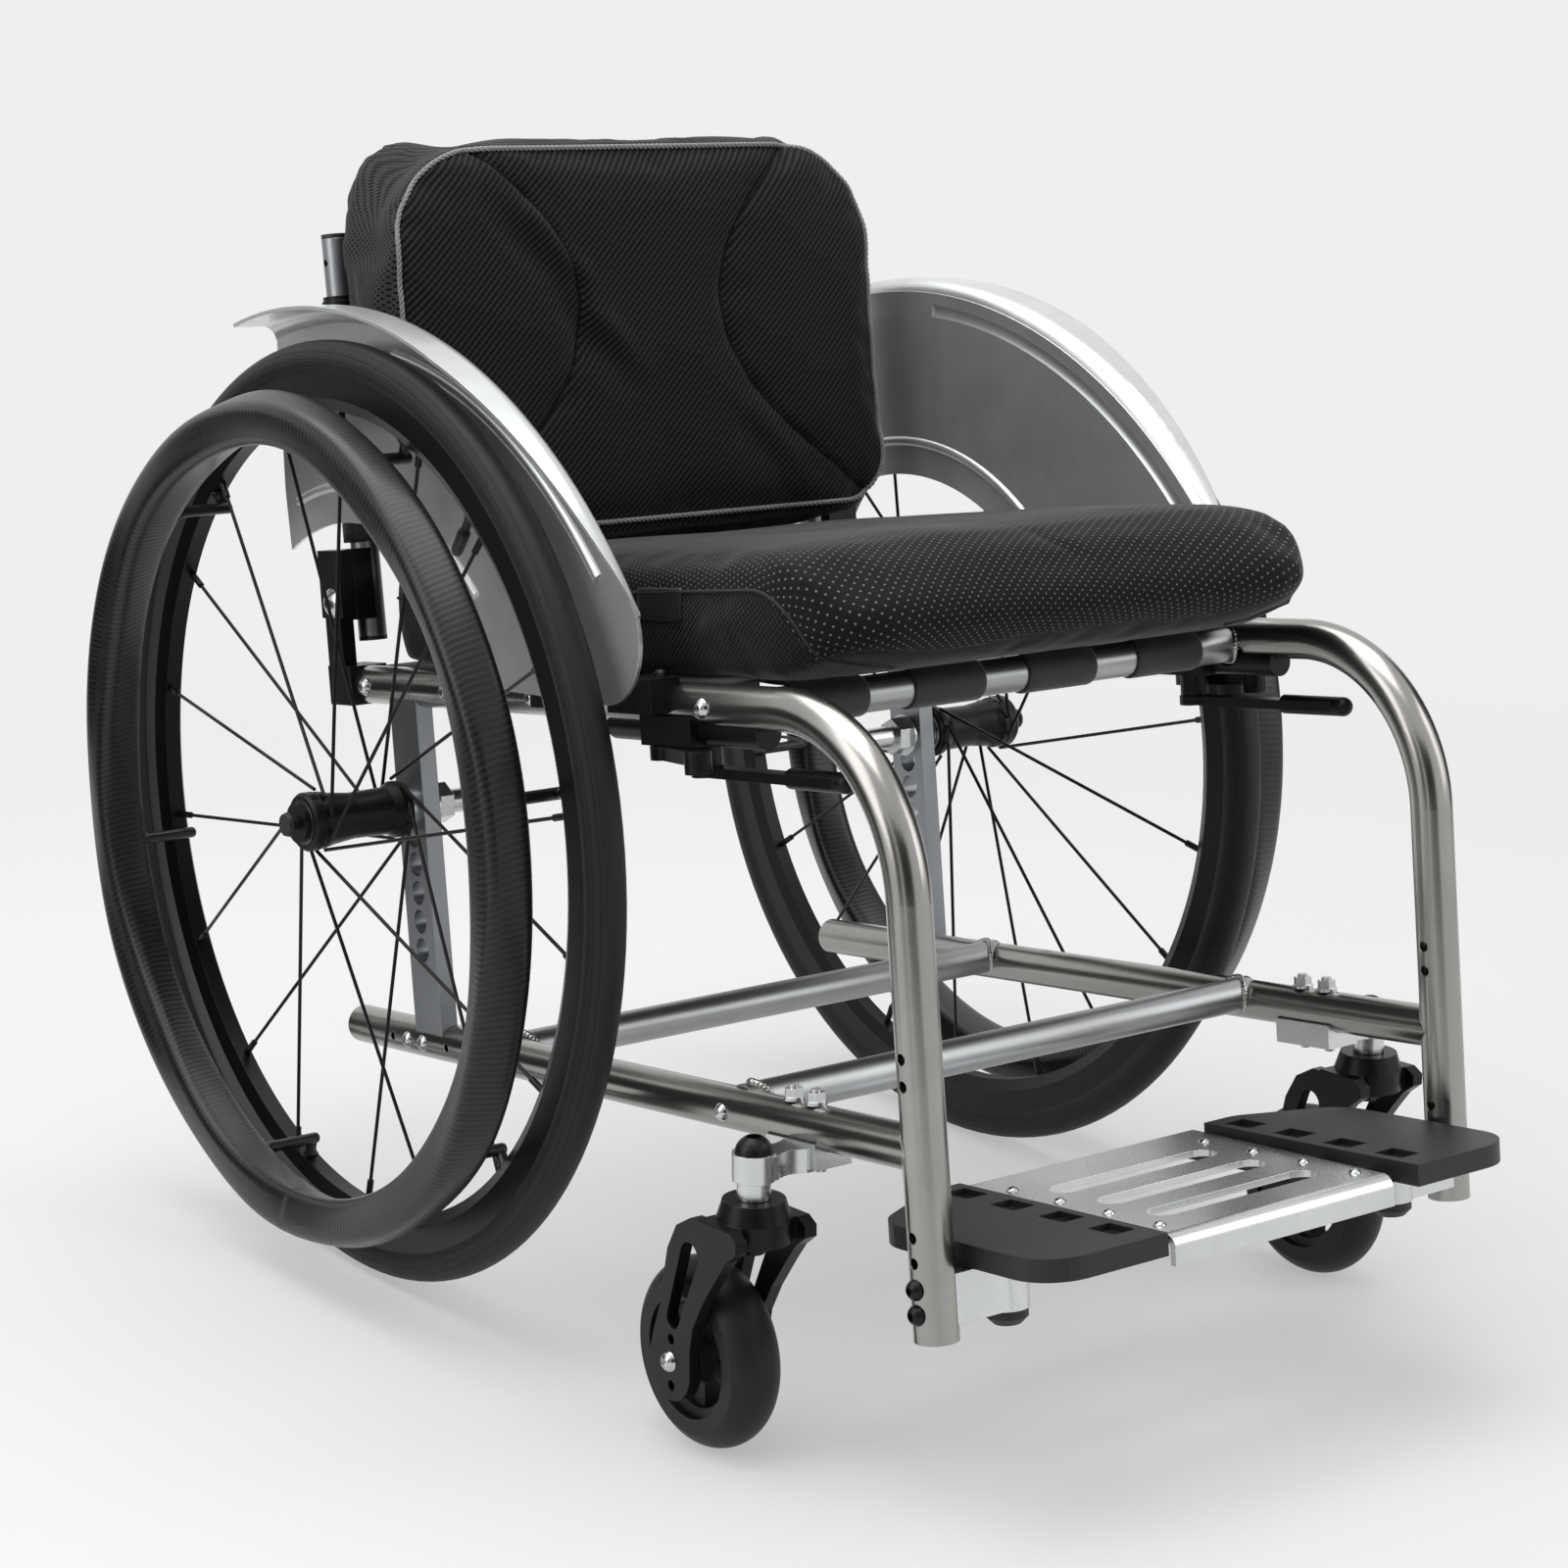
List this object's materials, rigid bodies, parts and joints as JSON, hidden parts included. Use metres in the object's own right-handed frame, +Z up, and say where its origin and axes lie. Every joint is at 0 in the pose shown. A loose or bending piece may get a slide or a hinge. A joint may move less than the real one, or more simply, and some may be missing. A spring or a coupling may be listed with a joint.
{
  "type": "sports wheelchair",
  "caption": "Rigid sports wheelchair: bent tube frame, spoked drive wheels with wavy push rims, swivelling casters, padded seat and back, side guards, wheel locks and footrest.",
  "frame": {"origin": "on the floor, below the middle of the overall box", "axes": "+Z up, -Y the way the rider faces, +X to the rider's left"},
  "size_m": [0.6336, 0.9096, 0.7253],
  "materials": {
    "brushed_titanium": "brushed bare titanium tube, warm grey",
    "grey_aluminium": "satin grey aluminium",
    "silver_aluminium": "satin bare aluminium",
    "steel": "bright zinc plated steel",
    "black_steel": "black oxide steel",
    "black_anodised": "black anodised, satin",
    "black_plastic": "fine grained moulding",
    "silver_paint": "silver metallic paint on sheet aluminium",
    "carbon": "matt composite with a fine cross hatch",
    "tyre_rubber": "smooth slick tread",
    "caster_rubber": "smooth solid rubber",
    "black_cloth": "plain woven upholstery",
    "black_webbing": "woven webbing",
    "dotted_cloth": "spacer cloth with small light grey dots, open mesh sides",
    "ribbed_cloth": "spacer cloth with a diagonal rib, light grey braided piping"
  },
  "bodies": {
    "frame": {"side_tube_left": "brushed_titanium", "side_tube_right": "brushed_titanium", "lower_tubes": "brushed_titanium", "axle_posts": "grey_aluminium", "lower_cross_tubes": "silver_aluminium", "seat_cross_tube": "silver_aluminium", "tube_plugs": "black_plastic", "axle_receivers": "silver_aluminium", "receiver_nuts": "silver_aluminium", "quick_release_axles": "steel", "seat_sling": "black_cloth", "sling_straps": "black_webbing", "seat_cushion": "dotted_cloth", "guard_left": "silver_paint", "guard_right": "silver_paint", "guard_clamps": "black_anodised", "caster_arms": "silver_aluminium", "kingpins": "black_steel", "frame_screws": "steel", "black_bolts": "black_steel", "footplates": "black_plastic", "foot_panel": "silver_aluminium", "panel_screws": "steel", "foot_brackets": "silver_aluminium", "bracket_caps": "black_plastic", "brake_mounts": "black_anodised", "hinge_bases": "black_anodised"},
    "back": {"back_posts": "grey_aluminium", "post_clamps": "black_anodised", "post_caps": "black_plastic", "back_panel": "black_cloth", "back_cushion": "ribbed_cloth"},
    "wheel_left": {"tyre_left": "tyre_rubber", "rim_left": "black_anodised", "spokes_left": "black_steel", "hub_left": "black_anodised", "hub_bearings_left": "steel", "push_rim_left": "carbon"},
    "caster_fork_left": {"caster_fork_left": "black_anodised", "caster_axle_left": "steel"},
    "caster_wheel_left": {"caster_core_left": "black_plastic", "caster_tyre_left": "caster_rubber", "caster_bearings_left": "steel"},
    "brake_lever_left": {"brake_lever_left": "black_anodised"},
    "brake_arm_left": {"brake_arm_left": "black_anodised"},
    "release_button_left": {"release_button_left": "black_plastic"},
    "wheel_right": {"tyre_right": "tyre_rubber", "rim_right": "black_anodised", "spokes_right": "black_steel", "hub_right": "black_anodised", "hub_bearings_right": "steel", "push_rim_right": "carbon"},
    "caster_fork_right": {"caster_fork_right": "black_anodised", "caster_axle_right": "steel"},
    "caster_wheel_right": {"caster_core_right": "black_plastic", "caster_tyre_right": "caster_rubber", "caster_bearings_right": "steel"},
    "brake_lever_right": {"brake_lever_right": "black_anodised"},
    "brake_arm_right": {"brake_arm_right": "black_anodised"},
    "release_button_right": {"release_button_right": "black_plastic"}
  },
  "joints": [
    {"name": "back_recline", "type": "hinge", "parent": "frame", "child": "back", "pos_m": [0, 0.24232, 0.42738], "axis": [1, 0, 0], "range_deg": [-18, 0]},
    {"name": "wheel_spin_left", "type": "hinge", "parent": "frame", "child": "wheel_left", "pos_m": [0.253, 0.15035, 0.3045], "axis": [1, 0, 0], "continuous": true},
    {"name": "caster_swivel_left", "type": "hinge", "parent": "frame", "child": "caster_fork_left", "pos_m": [0.243, -0.27365, 0.16], "axis": [0, 0, 1], "continuous": true},
    {"name": "caster_roll_left", "type": "hinge", "parent": "caster_fork_left", "child": "caster_wheel_left", "pos_m": [0.243, -0.22965, 0.056], "axis": [1, 0, 0], "continuous": true},
    {"name": "brake_lever_left", "type": "hinge", "parent": "frame", "child": "brake_lever_left", "pos_m": [0.192, -0.15891, 0.37748], "axis": [0, 0.1132, 0.9936], "range_deg": [0, 64]},
    {"name": "brake_arm_left", "type": "hinge", "parent": "frame", "child": "brake_arm_left", "pos_m": [0.207, -0.13871, 0.38725], "axis": [0, 0.1132, 0.9936], "range_deg": [0, 60]},
    {"name": "release_button_left", "type": "slide", "parent": "frame", "child": "release_button_left", "axis": [-1, 0, 0], "range_m": [0, 0.005], "stiffness_N_per_m": 300},
    {"name": "wheel_spin_right", "type": "hinge", "parent": "frame", "child": "wheel_right", "pos_m": [-0.253, 0.15035, 0.3045], "axis": [1, 0, 0], "continuous": true},
    {"name": "caster_swivel_right", "type": "hinge", "parent": "frame", "child": "caster_fork_right", "pos_m": [-0.243, -0.27365, 0.16], "axis": [0, 0, 1], "continuous": true},
    {"name": "caster_roll_right", "type": "hinge", "parent": "caster_fork_right", "child": "caster_wheel_right", "pos_m": [-0.243, -0.22965, 0.056], "axis": [1, 0, 0], "continuous": true},
    {"name": "brake_lever_right", "type": "hinge", "parent": "frame", "child": "brake_lever_right", "pos_m": [-0.192, -0.15891, 0.37748], "axis": [0, 0.1132, 0.9936], "range_deg": [-64, 0]},
    {"name": "brake_arm_right", "type": "hinge", "parent": "frame", "child": "brake_arm_right", "pos_m": [-0.207, -0.13871, 0.38725], "axis": [0, 0.1132, 0.9936], "range_deg": [-60, 0]},
    {"name": "release_button_right", "type": "slide", "parent": "frame", "child": "release_button_right", "axis": [1, 0, 0], "range_m": [0, 0.005], "stiffness_N_per_m": 300}
  ],
  "couplings": [
    {"joint": "brake_arm_left", "follows": "brake_lever_left", "ratio": 0.9375},
    {"joint": "brake_arm_right", "follows": "brake_lever_right", "ratio": 0.9375}
  ]
}
